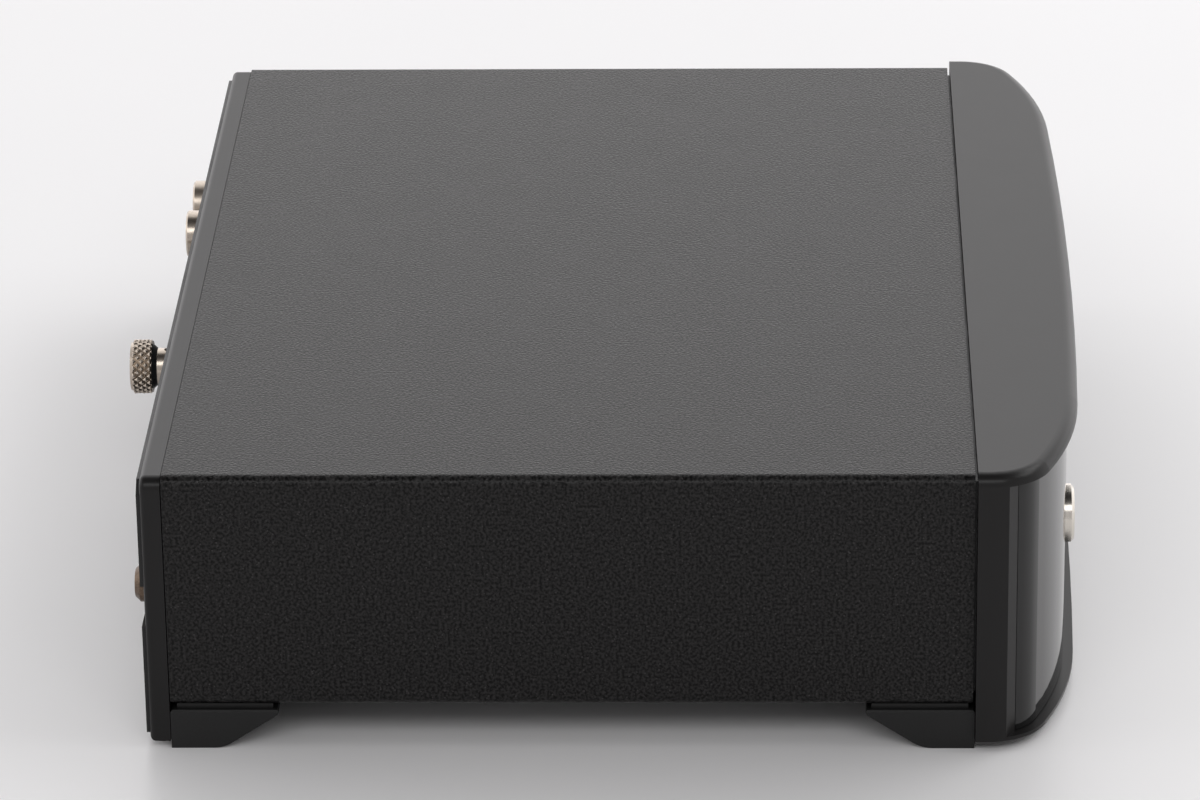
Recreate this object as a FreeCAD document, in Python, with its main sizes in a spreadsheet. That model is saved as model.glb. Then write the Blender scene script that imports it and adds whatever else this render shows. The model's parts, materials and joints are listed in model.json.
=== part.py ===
import FreeCAD, Part
import math
import os
import re
import Sketcher

# Small phono preamp: a folded steel case between a bowed front moulding and a flat rear bezel.
# +X is right seen from the front, the front faces -Y, and Z is up from the table.
# The origin is under the middle of the whole object, at the height of the feet.
# All sizes are in millimetres.

SIZES = {
    # Case: the wrapped cover and the folded tray inside it
    "case_width": 180.0,
    "case_length": 126.0,
    "case_bottom": 7.3,
    "case_top": 46.4,
    "cover_sheet": 1.0,
    "cover_bend": 1.6,
    "cover_flange": 14.0,
    "front_seam": 0.4,
    "rear_seam": 0.15,
    "tray_sheet": 1.0,
    "tray_bend": 1.5,
    "tray_side_gap": 0.7,
    "tray_top_gap": 0.3,
    "side_lip_height": 8.0,
    "side_lip_relief": 8.0,
    # Front moulding, its lips and the gloss fascia in its recess
    "moulding_overhang": 1.5,
    "moulding_bottom": 1.2,
    "moulding_top": 47.2,
    "front_bow": 17.65,
    "bow_radius": 1600.0,
    "shoulder_inset": 31.7,
    "shoulder_radius": 75.0,
    "corner_radius": 10.1,
    "moulding_edge": 2.0,
    "moulding_foot_edge": 0.6,
    "moulding_wall": 2.0,
    "end_wall_depth": 6.2,
    "end_wall_bevel": 1.5,
    "top_lip": 1.9,
    "bottom_lip": 1.2,
    "roof_wall": 2.4,
    "fascia_recess": 1.6,
    "fascia_thickness": 2.0,
    "fascia_gap": 0.1,
    "hook_inset": 20.0,
    "hook_low": 14.0,
    "hook_high": 35.0,
    "hook_width": 5.0,
    "hook_sheet": 2.0,
    "hook_setback": 7.05,
    "hook_nose": 1.2,
    "hook_catch": 2.0,
    "hook_fit": 0.1,
    # Power button, its switch and the indicator
    "button_inset": 36.0,
    "control_height": 24.0,
    "button_radius": 4.7,
    "button_front": 16.5,
    "button_edge": 0.45,
    "button_gap": 0.25,
    "button_flange_radius": 5.8,
    "button_flange_front": 10.6,
    "button_flange_thickness": 1.0,
    "button_socket": 2.0,
    "plunger_radius": 1.8,
    "plunger_gap": 0.1,
    "plunger_reach": 1.8,
    "switch_front": 3.0,
    "switch_width": 9.0,
    "switch_bore": 4.5,
    "spring_radius": 2.75,
    "spring_wire": 0.4,
    "spring_turns": 2.0,
    "indicator_pitch": 16.0,
    "indicator_radius": 1.5,
    "indicator_fit": 0.05,
    "indicator_length": 15.2,
    "led_gap": 0.4,
    "control_board_left": 15.0,
    "control_board_right": 11.0,
    "control_board_height": 18.0,
    "control_board_sheet": 1.6,
    "control_spacer_length": 4.0,
    "control_spacer_flats": 4.5,
    "control_spacer_inset": 3.5,
    "window_margin": 7.5,
    "window_height": 20.0,
    # Rear bezel and plate
    "bezel_depth": 3.25,
    "bezel_bottom": 1.2,
    "bezel_top": 46.1,
    "bezel_corner": 2.0,
    "bezel_edge": 0.9,
    "bezel_rim": 2.5,
    "bezel_core": 1.25,
    "plate_thickness": 1.0,
    "plate_proud": 0.6,
    "plate_inset": 1.1,
    "plate_seat_gap": 0.1,
    "plate_bottom": 2.2,
    "plate_top": 45.0,
    "plate_corner": 2.0,
    "rear_screw_inset": 10.0,
    "rear_screw_height": 24.0,
    "notch_height": 6.9,
    # Feet
    "foot_width": 22.0,
    "foot_length": 17.1,
    "foot_flat": 8.2,
    "foot_tip": 5.7,
    "foot_top": 6.5,
    "foot_blend": 6.0,
    "foot_rebate": 1.0,
    "foot_edge": 0.3,
    "foot_gap": 0.1,
    "peg_inset": 8.0,
    "peg_back": 5.5,
    "peg_width": 5.0,
    "peg_head_lap": 0.8,
    "peg_head_height": 1.2,
    "peg_fit": 0.1,
    # Rear screws
    "screw_radius": 1.45,
    "screw_clearance": 0.15,
    "pilot_clearance": 0.05,
    "pan_head_radius": 3.05,
    "pan_head_height": 2.2,
    "pan_head_dome": 0.8,
    "drive_width": 0.6,
    "drive_span": 3.0,
    "drive_depth": 1.2,
    "rear_screw_length": 10.0,
    # Main board and what stands on it
    "board_side_gap": 12.0,
    "board_front_gap": 9.0,
    "board_rear_gap": 3.0,
    "board_sheet": 1.6,
    "clip_rise": 2.0,
    "clip_length": 10.0,
    "clip_front": 20.0,
    "clip_rear": 30.0,
    "clip_lap": 1.5,
    "clip_back": 2.5,
    "clip_cap": 1.2,
    "large_can_radius": 6.3,
    "large_can_height": 20.0,
    "can_pitch": 16.0,
    "film_length": 10.0,
    "film_width": 4.5,
    "film_height": 9.0,
    "film_pitch": 9.0,
    "chip_length": 9.6,
    "chip_width": 6.4,
    "chip_height": 4.6,
    "regulator_width": 10.0,
    "regulator_depth": 4.5,
    "regulator_height": 16.0,
    "relay_length": 20.0,
    "relay_width": 10.0,
    "relay_height": 11.0,
    "header_length": 12.0,
    "header_depth": 5.0,
    "header_height": 4.0,
    "ribbon_sheet": 0.8,
    "ribbon_bend": 2.6,
    # Phono sockets, two over two in one block
    "socket_inset": 47.5,
    "socket_pitch": 14.0,
    "socket_low": 19.2,
    "block_margin": 7.6,
    "block_depth": 12.0,
    "block_top": 8.6,
    "neck_margin": 6.4,
    "neck_recess": 0.5,
    "neck_gap": 0.2,
    "barrel_radius": 4.15,
    "barrel_bore": 3.5,
    "barrel_reach": 7.86,
    "barrel_edge": 0.3,
    "insulator_recess": 0.6,
    "contact_bore": 1.65,
    "contact_depth": 9.0,
    "contact_width": 1.6,
    "contact_sheet": 0.3,
    "contact_drop": 1.4,
    "contact_recess": 1.2,
    # Power inlet
    "inlet_inset": 30.0,
    "inlet_width": 9.0,
    "inlet_height": 11.0,
    "inlet_depth": 14.0,
    "inlet_rise": 6.5,
    "inlet_neck": 4.2,
    "inlet_bore": 2.85,
    "inlet_bore_depth": 9.5,
    "inlet_pin_radius": 1.0,
    "inlet_pin_recess": 0.8,
    # Ground terminal
    "post_side": 5.5,
    "post_height": 24.0,
    "post_reach": 14.4,
    "post_neck_radius": 3.15,
    "post_neck_end": 9.9,
    "post_wire_hole": 0.8,
    "post_wire_back": 1.9,
    "stud_radius": 2.0,
    "stud_tip": 1.0,
    "stud_inside": 6.5,
    "stud_fit": 0.05,
    "washer_seat": 0.1,
    "washer_small": 3.2,
    "washer_large": 3.8,
    "washer_bore": 2.65,
    "hub_fit": 0.05,
    "head_length": 3.6,
    "head_radius": 4.6,
    "head_edge": 0.5,
    "post_boss": 4.5,
    "lock_nut_flats": 7.0,
    "lock_nut_height": 2.6,
}

# Places that many pieces share, as formulas of the sizes
FRONT = "((front_bow - case_length - post_reach) / 2)"
REAR = "((front_bow + case_length - post_reach) / 2)"
MOULDING_HALF = "(case_width / 2 + moulding_overhang)"
SHOULDER_START = f"({MOULDING_HALF} - shoulder_inset)"
CORNER_X = f"({MOULDING_HALF} - corner_radius)"
TRAY_FLOOR = "(case_bottom + cover_sheet)"
TRAY_INSIDE = f"({TRAY_FLOOR} + tray_sheet)"
TRAY_HALF = "(case_width / 2 - cover_sheet - tray_side_gap)"
TRAY_TOP = "(case_top - cover_sheet - tray_top_gap)"
TRAY_REAR = f"({REAR} - tray_sheet)"
BOARD_UNDER = f"({TRAY_INSIDE} + clip_rise)"
BOARD_TOP = f"({BOARD_UNDER} + board_sheet)"
BOARD_HALF = "(case_width / 2 - board_side_gap)"
BEZEL_FACE = f"({REAR} + bezel_depth)"
PLATE_FACE = f"({BEZEL_FACE} + plate_proud)"
PLATE_BACK = f"({PLATE_FACE} - plate_thickness)"
NECK_FACE = f"({PLATE_FACE} - neck_recess)"
PEG_X = "(case_width / 2 - peg_inset)"
CONTROL_FACE = f"({FRONT} + tray_sheet + control_spacer_length)"
CONTROL_BACK = f"({CONTROL_FACE} + control_board_sheet)"
BUTTON_X = "(button_inset - case_width / 2)"
INDICATOR_X = f"({BUTTON_X} + indicator_pitch)"
CONTROL_LEFT = f"({BUTTON_X} - control_board_left)"
CONTROL_RIGHT = f"({INDICATOR_X} + control_board_right)"
PLUNGER_BACK = f"({FRONT} - switch_front + plunger_reach)"
SOCKET_X = "(case_width / 2 - socket_inset)"
STUB_END = f"({REAR} + barrel_reach - insulator_recess)"
INLET_X = "(inlet_inset - case_width / 2)"
INLET_HEIGHT = f"({BOARD_TOP} + inlet_rise)"
FASCIA_BACK = "(fascia_recess + fascia_thickness)"
WALL_BACK = f"({FASCIA_BACK} + moulding_wall)"
SOCKETS = [
    (across, up)
    for across in (SOCKET_X, f"({SOCKET_X} + socket_pitch)")
    for up in ("socket_low", "(socket_low + socket_pitch)")
]
REAR_SCREW_X = "(case_width / 2 - rear_screw_inset)"
REAR_SCREWS = [(f"{side} * {REAR_SCREW_X}", "rear_screw_height") for side in ("-1", "1")]
HOOKS = [
    (f"{side} * (case_width / 2 - hook_inset)", up)
    for side in ("-1", "1")
    for up in ("hook_low", "hook_high")
]
PEGS = [
    (f"{side} * {PEG_X}", back)
    for side in ("-1", "1")
    for back in (f"({FRONT} + peg_back)", f"({REAR} - peg_back)")
]

PLANE_ROLES = {"XY": "XY_Plane", "XZ": "XZ_Plane", "YZ": "YZ_Plane"}
TURN_TO_Y = FreeCAD.Rotation(FreeCAD.Vector(1, 0, 0), -90)
TOLERANCE = 1e-4

doc = FreeCAD.newDocument("phono_preamp")
sheet = doc.addObject("Spreadsheet::Sheet", "sizes")
for row, (alias, size) in enumerate(SIZES.items(), start=1):
    sheet.set(f"A{row}", alias)
    sheet.set(f"B{row}", str(size))
    sheet.setAlias(f"B{row}", alias)
doc.recompute()

finished = []


def linked(text):
    """The formula with each size written as a cell of the sheet."""
    def cell(match):
        word = match.group()
        return f"sizes.{word}" if word in SIZES else word

    return re.sub(r"[a-z]+(?:_[a-z]+)*", cell, text)


def value(text):
    """The number that a formula of the sizes gives."""
    return float(sheet.evalExpression(linked(text)))


def finish(item, name):
    """Names an object as one sub-part of the product."""
    item.Label = name
    finished.append(item)
    return item


# Sketched bodies

def new_body(name):
    body = doc.addObject("PartDesign::Body", name + "_body")
    return finish(body, name)


def sketch_on(body, name, plane, at):
    """A sketch on one of the body's origin planes, moved along +X, +Y or +Z to the place at."""
    sketch = body.newObject("Sketcher::SketchObject", name)
    support = next(item for item in body.Origin.OriginFeatures if item.Role == PLANE_ROLES[plane])
    sketch.AttachmentSupport = (support, [""])
    sketch.MapMode = "FlatFace"
    offset = f"-({at})" if plane == "XZ" else at
    sketch.setExpression("AttachmentOffset.Base.z", linked(offset))
    return sketch


def hold(sketch, kind, geometry, point, text):
    """Holds a point's distance from the sketch's origin to a formula."""
    index = sketch.addConstraint(Sketcher.Constraint(kind, -1, 1, geometry, point, value(text)))
    sketch.setExpression(f"Constraints[{index}]", linked(text))


def hold_radius(sketch, geometry, text):
    index = sketch.addConstraint(Sketcher.Constraint("Radius", geometry, value(text)))
    sketch.setExpression(f"Constraints[{index}]", linked(text))


def draw_polygon(sketch, corners, hollows=()):
    """A closed outline, counter-clockwise; each side numbered in hollows is a half circle cut into it."""
    first = sketch.GeometryCount
    count = len(corners)
    points = [FreeCAD.Vector(value(across), value(up), 0) for across, up in corners]
    ends = [(2, 1) if i in hollows else (1, 2) for i in range(count)]
    for i in range(count):
        begin, end = points[i], points[(i + 1) % count]
        if i in hollows:
            half = (end - begin) / 2
            top = begin + half + FreeCAD.Vector(-half.y, half.x, 0)
            sketch.addGeometry(Part.Arc(begin, top, end))
            hold(sketch, "DistanceX", first + i, 3, corners[i][0])
        else:
            sketch.addGeometry(Part.LineSegment(begin, end))
    for i in range(count):
        after = (i + 1) % count
        join = Sketcher.Constraint("Coincident", first + i, ends[i][1], first + after, ends[after][0])
        sketch.addConstraint(join)
    for i, (across, up) in enumerate(corners):
        hold(sketch, "DistanceX", first + i, ends[i][0], across)
        hold(sketch, "DistanceY", first + i, ends[i][0], up)


def draw_rectangle(sketch, left, low, right, high):
    draw_polygon(sketch, [(left, low), (right, low), (right, high), (left, high)])


def draw_circle(sketch, across, up, radius):
    centre = FreeCAD.Vector(value(across), value(up), 0)
    index = sketch.addGeometry(Part.Circle(centre, FreeCAD.Vector(0, 0, 1), value(radius)))
    hold(sketch, "DistanceX", index, 3, across)
    hold(sketch, "DistanceY", index, 3, up)
    hold_radius(sketch, index, radius)


def add(body, sketch, plane, length):
    """Pads a sketch towards +X, +Y or +Z."""
    pad = body.newObject("PartDesign::Pad", sketch.Name + "_pad")
    pad.Profile = sketch
    pad.Reversed = plane == "XZ"
    pad.setExpression("Length", linked(length))
    sketch.Visibility = False
    doc.recompute()
    return pad


def cut(body, sketch, plane, length):
    """Cuts a sketch out towards +X, +Y or +Z, and makes sure that it took something away."""
    before = body.Shape.Volume
    pocket = body.newObject("PartDesign::Pocket", sketch.Name + "_cut")
    pocket.Profile = sketch
    pocket.Reversed = plane != "XZ"
    pocket.setExpression("Length", linked(length))
    sketch.Visibility = False
    doc.recompute()
    if before - body.Shape.Volume < TOLERANCE:
        raise RuntimeError(f"{pocket.Name} cuts nothing")
    return pocket


def add_box(body, name, plane, at, length, left, low, right, high):
    sketch = sketch_on(body, name, plane, at)
    draw_rectangle(sketch, left, low, right, high)
    return add(body, sketch, plane, length)


def cut_box(body, name, plane, at, length, left, low, right, high):
    sketch = sketch_on(body, name, plane, at)
    draw_rectangle(sketch, left, low, right, high)
    return cut(body, sketch, plane, length)


def add_rounds(body, name, plane, at, length, circles):
    sketch = sketch_on(body, name, plane, at)
    for across, up, radius in circles:
        draw_circle(sketch, across, up, radius)
    return add(body, sketch, plane, length)


def cut_squares(body, name, plane, at, length, middles, half):
    """Cuts a square hole at each middle, half being half its side."""
    sketch = sketch_on(body, name, plane, at)
    for across, up in middles:
        draw_rectangle(sketch, f"{across} - {half}", f"{up} - {half}", f"{across} + {half}", f"{up} + {half}")
    return cut(body, sketch, plane, length)


def cut_rounds(body, name, plane, at, length, circles):
    sketch = sketch_on(body, name, plane, at)
    for across, up, radius in circles:
        draw_circle(sketch, across, up, radius)
    return cut(body, sketch, plane, length)


def dress(body, kind, name, size, wanted):
    """Rounds or bevels the edges of the body's tip whose middle point and edge pass the test."""
    tip = body.Tip
    edges = []
    for number, edge in enumerate(tip.Shape.Edges, start=1):
        middle = edge.valueAt((edge.FirstParameter + edge.LastParameter) / 2)
        if wanted(middle, edge):
            edges.append(f"Edge{number}")
    if not edges:
        raise RuntimeError(f"{name} found no edges")
    feature = body.newObject(f"PartDesign::{kind}", name)
    feature.Base = (tip, edges)
    feature.setExpression("Radius" if kind == "Fillet" else "Size", linked(size))
    doc.recompute()
    return feature


def near(number, text):
    return abs(number - value(text)) < TOLERANCE


def runs_along(edge, axis):
    """Whether an edge is a straight line along an axis, 0 for X, 1 for Y and 2 for Z."""
    if not isinstance(edge.Curve, Part.Line):
        return False
    return abs(edge.tangentAt(edge.FirstParameter)[axis]) > 1 - TOLERANCE


# Turned pieces and copies

def place(item, across, back, up):
    item.setExpression("Placement.Base.x", linked(across))
    item.setExpression("Placement.Base.y", linked(back))
    item.setExpression("Placement.Base.z", linked(up))


def cylinder(name, axis, across, back, up, radius, length):
    item = doc.addObject("Part::Cylinder", name)
    item.setExpression("Radius", linked(radius))
    item.setExpression("Height", linked(length))
    if axis == "Y":
        item.Placement.Rotation = TURN_TO_Y
    place(item, across, back, up)
    return item


def cone(name, axis, across, back, up, first_radius, last_radius, length):
    item = doc.addObject("Part::Cone", name)
    item.setExpression("Radius1", linked(first_radius))
    item.setExpression("Radius2", linked(last_radius))
    item.setExpression("Height", linked(length))
    if axis == "Y":
        item.Placement.Rotation = TURN_TO_Y
    place(item, across, back, up)
    return item


def hexagon(name, axis, across, back, up, flats, length):
    item = doc.addObject("Part::Prism", name)
    item.Polygon = 6
    item.setExpression("Circumradius", linked(f"{flats} / 2 / cos(30)"))
    item.setExpression("Height", linked(length))
    if axis == "Y":
        item.Placement.Rotation = TURN_TO_Y
    place(item, across, back, up)
    return item


def box(name, left, front, low, width, depth, height):
    item = doc.addObject("Part::Box", name)
    item.setExpression("Length", linked(width))
    item.setExpression("Width", linked(depth))
    item.setExpression("Height", linked(height))
    place(item, left, front, low)
    return item


def fuse(name, pieces):
    item = doc.addObject("Part::MultiFuse", name)
    item.Shapes = pieces
    item.Refine = True
    return item


def difference(name, base, tool):
    item = doc.addObject("Part::Cut", name)
    item.Base = base
    item.Tool = tool
    item.Refine = True
    return item


def group(name, pieces):
    """One sub-part made of separate like pieces."""
    item = doc.addObject("Part::Compound", name + "_group")
    item.Links = pieces
    return finish(item, name)


def copies(name, source, places):
    """One sub-part made of a like piece at each place."""
    links = []
    for number, (across, back, up) in enumerate(places, start=1):
        link = doc.addObject("App::Link", f"{name}_{number}")
        link.LinkedObject = source
        link.LinkTransform = True
        place(link, across, back, up)
        links.append(link)
    return group(name, links)


# Outline of the bowed front, seen from above

def bow_arcs(inset):
    """Centres, radii and turning angles of the arcs, inset from the moulding's outline."""
    front = value(FRONT)
    bow_radius = value("bow_radius")
    shoulder_radius = value("shoulder_radius")
    corner_radius = value("corner_radius")
    first_turn = math.asin(value(SHOULDER_START) / bow_radius)
    bow_centre = front - value("front_bow") + bow_radius
    shoulder_x = (bow_radius - shoulder_radius) * math.sin(first_turn)
    shoulder_y = bow_centre - (bow_radius - shoulder_radius) * math.cos(first_turn)
    corner_x = value(CORNER_X)
    second_turn = math.asin((corner_x - shoulder_x) / (shoulder_radius - corner_radius))
    corner_y = shoulder_y - (shoulder_radius - corner_radius) * math.cos(second_turn)
    return {
        "bow": (0.0, bow_centre, bow_radius - inset),
        "shoulder": (shoulder_x, shoulder_y, shoulder_radius - inset),
        "corner": (corner_x, corner_y, corner_radius - inset),
        "first_turn": first_turn,
        "second_turn": second_turn,
    }


def bow_arc(centre_x, centre_y, radius, start, end):
    """An arc whose angles are turned from straight ahead, positive to the right."""
    circle = Part.Circle(FreeCAD.Vector(centre_x, centre_y, 0), FreeCAD.Vector(0, 0, 1), radius)
    return Part.ArcOfCircle(circle, start - math.pi / 2, end - math.pi / 2)


def draw_bow(sketch, inset, end_turn):
    """Draws the five arcs from left to right; the corners stop at end_turn. Gives the first number."""
    arcs = bow_arcs(value(inset))
    first, second = arcs["first_turn"], arcs["second_turn"]
    corner_x, corner_y, corner_radius = arcs["corner"]
    shoulder_x, shoulder_y, shoulder_radius = arcs["shoulder"]
    start = sketch.GeometryCount
    sketch.addGeometry(bow_arc(-corner_x, corner_y, corner_radius, -end_turn, -second))
    sketch.addGeometry(bow_arc(-shoulder_x, shoulder_y, shoulder_radius, -second, -first))
    sketch.addGeometry(bow_arc(*arcs["bow"], -first, first))
    sketch.addGeometry(bow_arc(shoulder_x, shoulder_y, shoulder_radius, first, second))
    sketch.addGeometry(bow_arc(corner_x, corner_y, corner_radius, second, end_turn))
    for i in range(4):
        sketch.addConstraint(Sketcher.Constraint("Tangent", start + i, 2, start + i + 1, 1))
    hold(sketch, "DistanceX", start + 2, 3, "0")
    hold(sketch, "DistanceY", start + 2, 3, f"{FRONT} - front_bow + bow_radius")
    side_radii = ["corner_radius", "shoulder_radius"]
    for i, radius in enumerate(side_radii + ["bow_radius"] + side_radii[::-1]):
        hold_radius(sketch, start + i, f"{radius} - ({inset})")
    shoulder_point = f"{SHOULDER_START} * (bow_radius - ({inset})) / bow_radius"
    hold(sketch, "DistanceX", start + 2, 1, f"-{shoulder_point}")
    hold(sketch, "DistanceX", start + 2, 2, shoulder_point)
    return start


def hold_corners(sketch, start):
    """Holds the centres of the two corner arcs."""
    hold(sketch, "DistanceX", start, 3, f"-{CORNER_X}")
    hold(sketch, "DistanceX", start + 4, 3, CORNER_X)


def turn_at(inset, depth):
    """The angle at which the inset corner arc lies depth in front of the seam."""
    corner_y, radius = bow_arcs(value(inset))["corner"][1:]
    return math.acos((corner_y - value(FRONT) + value(depth)) / radius)


def join_open_ends(sketch, start, points):
    """Closes the outline from the last arc's end, through the points, to the first arc's start."""
    left = sketch.getPoint(start, 1)
    right = sketch.getPoint(start + 4, 2)
    stops = [right] + [FreeCAD.Vector(value(across), value(up), 0) for across, up in points] + [left]
    previous = (start + 4, 2)
    for number, (begin, end) in enumerate(zip(stops, stops[1:])):
        line = sketch.addGeometry(Part.LineSegment(begin, end))
        sketch.addConstraint(Sketcher.Constraint("Coincident", previous[0], previous[1], line, 1))
        if number < len(points):
            hold(sketch, "DistanceX", line, 2, points[number][0])
            hold(sketch, "DistanceY", line, 2, points[number][1])
        previous = (line, 2)
    sketch.addConstraint(Sketcher.Constraint("Coincident", previous[0], previous[1], start, 1))


def draw_outer_bow(sketch):
    """The moulding's outline: straight ends tangent to the corners, closed along the seam."""
    start = draw_bow(sketch, "0", math.pi / 2)
    half = value(MOULDING_HALF)
    front = value(FRONT)
    left = sketch.getPoint(start, 1)
    right = sketch.getPoint(start + 4, 2)
    seam_right = FreeCAD.Vector(half, front, 0)
    seam_left = FreeCAD.Vector(-half, front, 0)
    side_right = sketch.addGeometry(Part.LineSegment(right, seam_right))
    back = sketch.addGeometry(Part.LineSegment(seam_right, seam_left))
    side_left = sketch.addGeometry(Part.LineSegment(seam_left, left))
    sketch.addConstraint(Sketcher.Constraint("Tangent", start + 4, 2, side_right, 1))
    sketch.addConstraint(Sketcher.Constraint("Coincident", side_right, 2, back, 1))
    sketch.addConstraint(Sketcher.Constraint("Coincident", back, 2, side_left, 1))
    sketch.addConstraint(Sketcher.Constraint("Tangent", side_left, 2, start, 1))
    sketch.addConstraint(Sketcher.Constraint("Vertical", side_right))
    sketch.addConstraint(Sketcher.Constraint("Vertical", side_left))
    hold(sketch, "DistanceX", back, 1, MOULDING_HALF)
    hold(sketch, "DistanceY", back, 1, FRONT)
    hold(sketch, "DistanceX", back, 2, f"-{MOULDING_HALF}")
    hold(sketch, "DistanceY", back, 2, FRONT)


def draw_inset_bow(sketch, inset, depth, points):
    """An inset outline that starts at a depth in front of the seam and closes through the points."""
    start = draw_bow(sketch, inset, turn_at(inset, depth))
    hold_corners(sketch, start)
    hold(sketch, "DistanceY", start, 1, f"{FRONT} - ({depth})")
    hold(sketch, "DistanceY", start + 4, 2, f"{FRONT} - ({depth})")
    join_open_ends(sketch, start, points)


# Case

def make_top_cover():
    """One steel sheet folded round the top, the sides and a little way under the case."""
    body = new_body("top_cover")
    outer = "case_width / 2"
    inner = "(case_width / 2 - cover_sheet)"
    turned_in = "(case_width / 2 - cover_flange)"
    low, high = "case_bottom", "case_top"
    low_inside, high_inside = "case_bottom + cover_sheet", "case_top - cover_sheet"
    section = sketch_on(body, "cover_section", "XZ", f"{FRONT} + front_seam")
    draw_polygon(section, [
        (f"-{turned_in}", low), (f"-{outer}", low), (f"-{outer}", high), (outer, high), (outer, low),
        (turned_in, low), (turned_in, low_inside), (inner, low_inside), (inner, high_inside),
        (f"-{inner}", high_inside), (f"-{inner}", low_inside), (f"-{turned_in}", low_inside),
    ])
    add(body, section, "XZ", "case_length - front_seam - rear_seam")
    dress(body, "Fillet", "cover_outer_bends", "cover_bend",
          lambda p, e: runs_along(e, 1) and near(abs(p.x), outer))
    dress(body, "Fillet", "cover_inner_bends", "cover_bend - cover_sheet",
          lambda p, e: runs_along(e, 1) and near(abs(p.x), inner))
    cut_squares(body, "cover_peg_holes", "XY", low, "cover_sheet", PEGS, "(peg_width / 2 + peg_fit)")


def make_base_tray():
    """The folded tray: floor, front and rear walls, and low lips along the sides."""
    body = new_body("base_tray")
    section = sketch_on(body, "tray_section", "YZ", f"-{TRAY_HALF}")
    front_inside = f"{FRONT} + tray_sheet"
    draw_polygon(section, [
        (FRONT, TRAY_FLOOR), (REAR, TRAY_FLOOR), (REAR, TRAY_TOP), (TRAY_REAR, TRAY_TOP),
        (TRAY_REAR, TRAY_INSIDE), (front_inside, TRAY_INSIDE),
        (front_inside, TRAY_TOP), (FRONT, TRAY_TOP),
    ])
    add(body, section, "YZ", f"2 * {TRAY_HALF}")
    dress(body, "Fillet", "tray_outer_bends", "tray_bend",
          lambda p, e: runs_along(e, 0) and near(p.z, TRAY_FLOOR))
    dress(body, "Fillet", "tray_inner_bends", "tray_bend - tray_sheet",
          lambda p, e: runs_along(e, 0) and near(p.z, TRAY_INSIDE))
    for side, start in (("left", f"-{TRAY_HALF}"), ("right", f"{TRAY_HALF} - tray_sheet")):
        add_box(body, f"tray_lip_{side}", "XY", TRAY_FLOOR, "side_lip_height",
                start, f"{FRONT} + side_lip_relief",
                f"{start} + tray_sheet", f"{REAR} - side_lip_relief")
    cut_box(body, "control_window", "XZ", FRONT, "tray_sheet",
            f"{BUTTON_X} - window_margin", "control_height - window_height / 2",
            f"{INDICATOR_X} + window_margin / 2", "control_height + window_height / 2")
    slots = sketch_on(body, "tray_hook_slots", "XZ", FRONT)
    for across, up in HOOKS:
        draw_rectangle(slots, f"{across} - hook_width / 2 - hook_fit", f"{up} - hook_fit",
                       f"{across} + hook_width / 2 + hook_fit", f"{up} + hook_sheet + hook_fit")
    cut(body, slots, "XZ", "tray_sheet")
    cut_socket_windows(body, "tray", TRAY_REAR, "tray_sheet")
    holes = [(across, up, "screw_radius + pilot_clearance") for across, up in REAR_SCREWS]
    holes.append(("post_side", "post_height", "stud_radius + stud_fit"))
    cut_rounds(body, "tray_rear_holes", "XZ", TRAY_REAR, "tray_sheet", holes)
    cut_squares(body, "tray_peg_holes", "XY", TRAY_FLOOR, "tray_sheet", PEGS, "(peg_width / 2 + peg_fit)")


def cut_socket_windows(body, name, at, length):
    """The openings round the socket block's neck and the power inlet's neck."""
    cut_box(body, f"{name}_socket_window", "XZ", at, length,
            f"{SOCKET_X} - neck_margin - neck_gap", "socket_low - neck_margin - neck_gap",
            f"{SOCKET_X} + socket_pitch + neck_margin + neck_gap",
            "socket_low + socket_pitch + neck_margin + neck_gap")
    cut_squares(body, f"{name}_inlet_window", "XZ", at, length, [(INLET_X, INLET_HEIGHT)],
                "(inlet_neck + neck_gap)")


# Front

def make_front_moulding():
    """The bowed front: a shell open behind, with lips above and below a wrapping recess."""
    body = new_body("front_moulding")
    outline = sketch_on(body, "front_outline", "XY", "moulding_bottom")
    draw_outer_bow(outline)
    add(body, outline, "XY", "moulding_top - moulding_bottom")
    dress(body, "Fillet", "front_top_edge", "moulding_edge",
          lambda p, e: near(p.z, "moulding_top") and not near(p.y, FRONT))
    dress(body, "Chamfer", "front_foot_edge", "moulding_foot_edge",
          lambda p, e: near(p.z, "moulding_bottom") and not near(p.y, FRONT))
    clear_x, clear_y = "case_width", f"{FRONT} - 2 * front_bow"
    seam_y = f"{FRONT} - end_wall_depth"
    recess = sketch_on(body, "fascia_recess_outline", "XY", "moulding_bottom + bottom_lip")
    draw_inset_bow(recess, FASCIA_BACK, "end_wall_depth", [
        (clear_x, seam_y), (clear_x, clear_y), (f"-{clear_x}", clear_y), (f"-{clear_x}", seam_y),
    ])
    cut(body, recess, "XY", "moulding_top - top_lip - moulding_bottom - bottom_lip")
    outer_x = f"{MOULDING_HALF} - fascia_recess"
    dress(body, "Chamfer", "end_wall_bevels", "end_wall_bevel",
          lambda p, e: runs_along(e, 2) and near(p.y, seam_y) and abs(p.x) > value(outer_x))
    hollow = sketch_on(body, "front_hollow_outline", "XY", "moulding_bottom + moulding_wall")
    inside_x = f"({MOULDING_HALF} - {WALL_BACK})"
    draw_inset_bow(hollow, WALL_BACK, "end_wall_depth", [
        (inside_x, f"{FRONT} - moulding_wall"), (inside_x, FRONT),
        (f"-{inside_x}", FRONT), (f"-{inside_x}", f"{FRONT} - moulding_wall"),
    ])
    cut(body, hollow, "XY", "moulding_top - roof_wall - moulding_bottom - moulding_wall")
    skirt_low = "moulding_bottom + moulding_wall"
    add_box(body, "front_skirt", "XY", skirt_low, f"{TRAY_FLOOR} - ({skirt_low})",
            f"-{inside_x}", f"{FRONT} - moulding_wall", inside_x, FRONT)
    add_hooks(body)
    cut_control_holes(body, "front")


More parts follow.
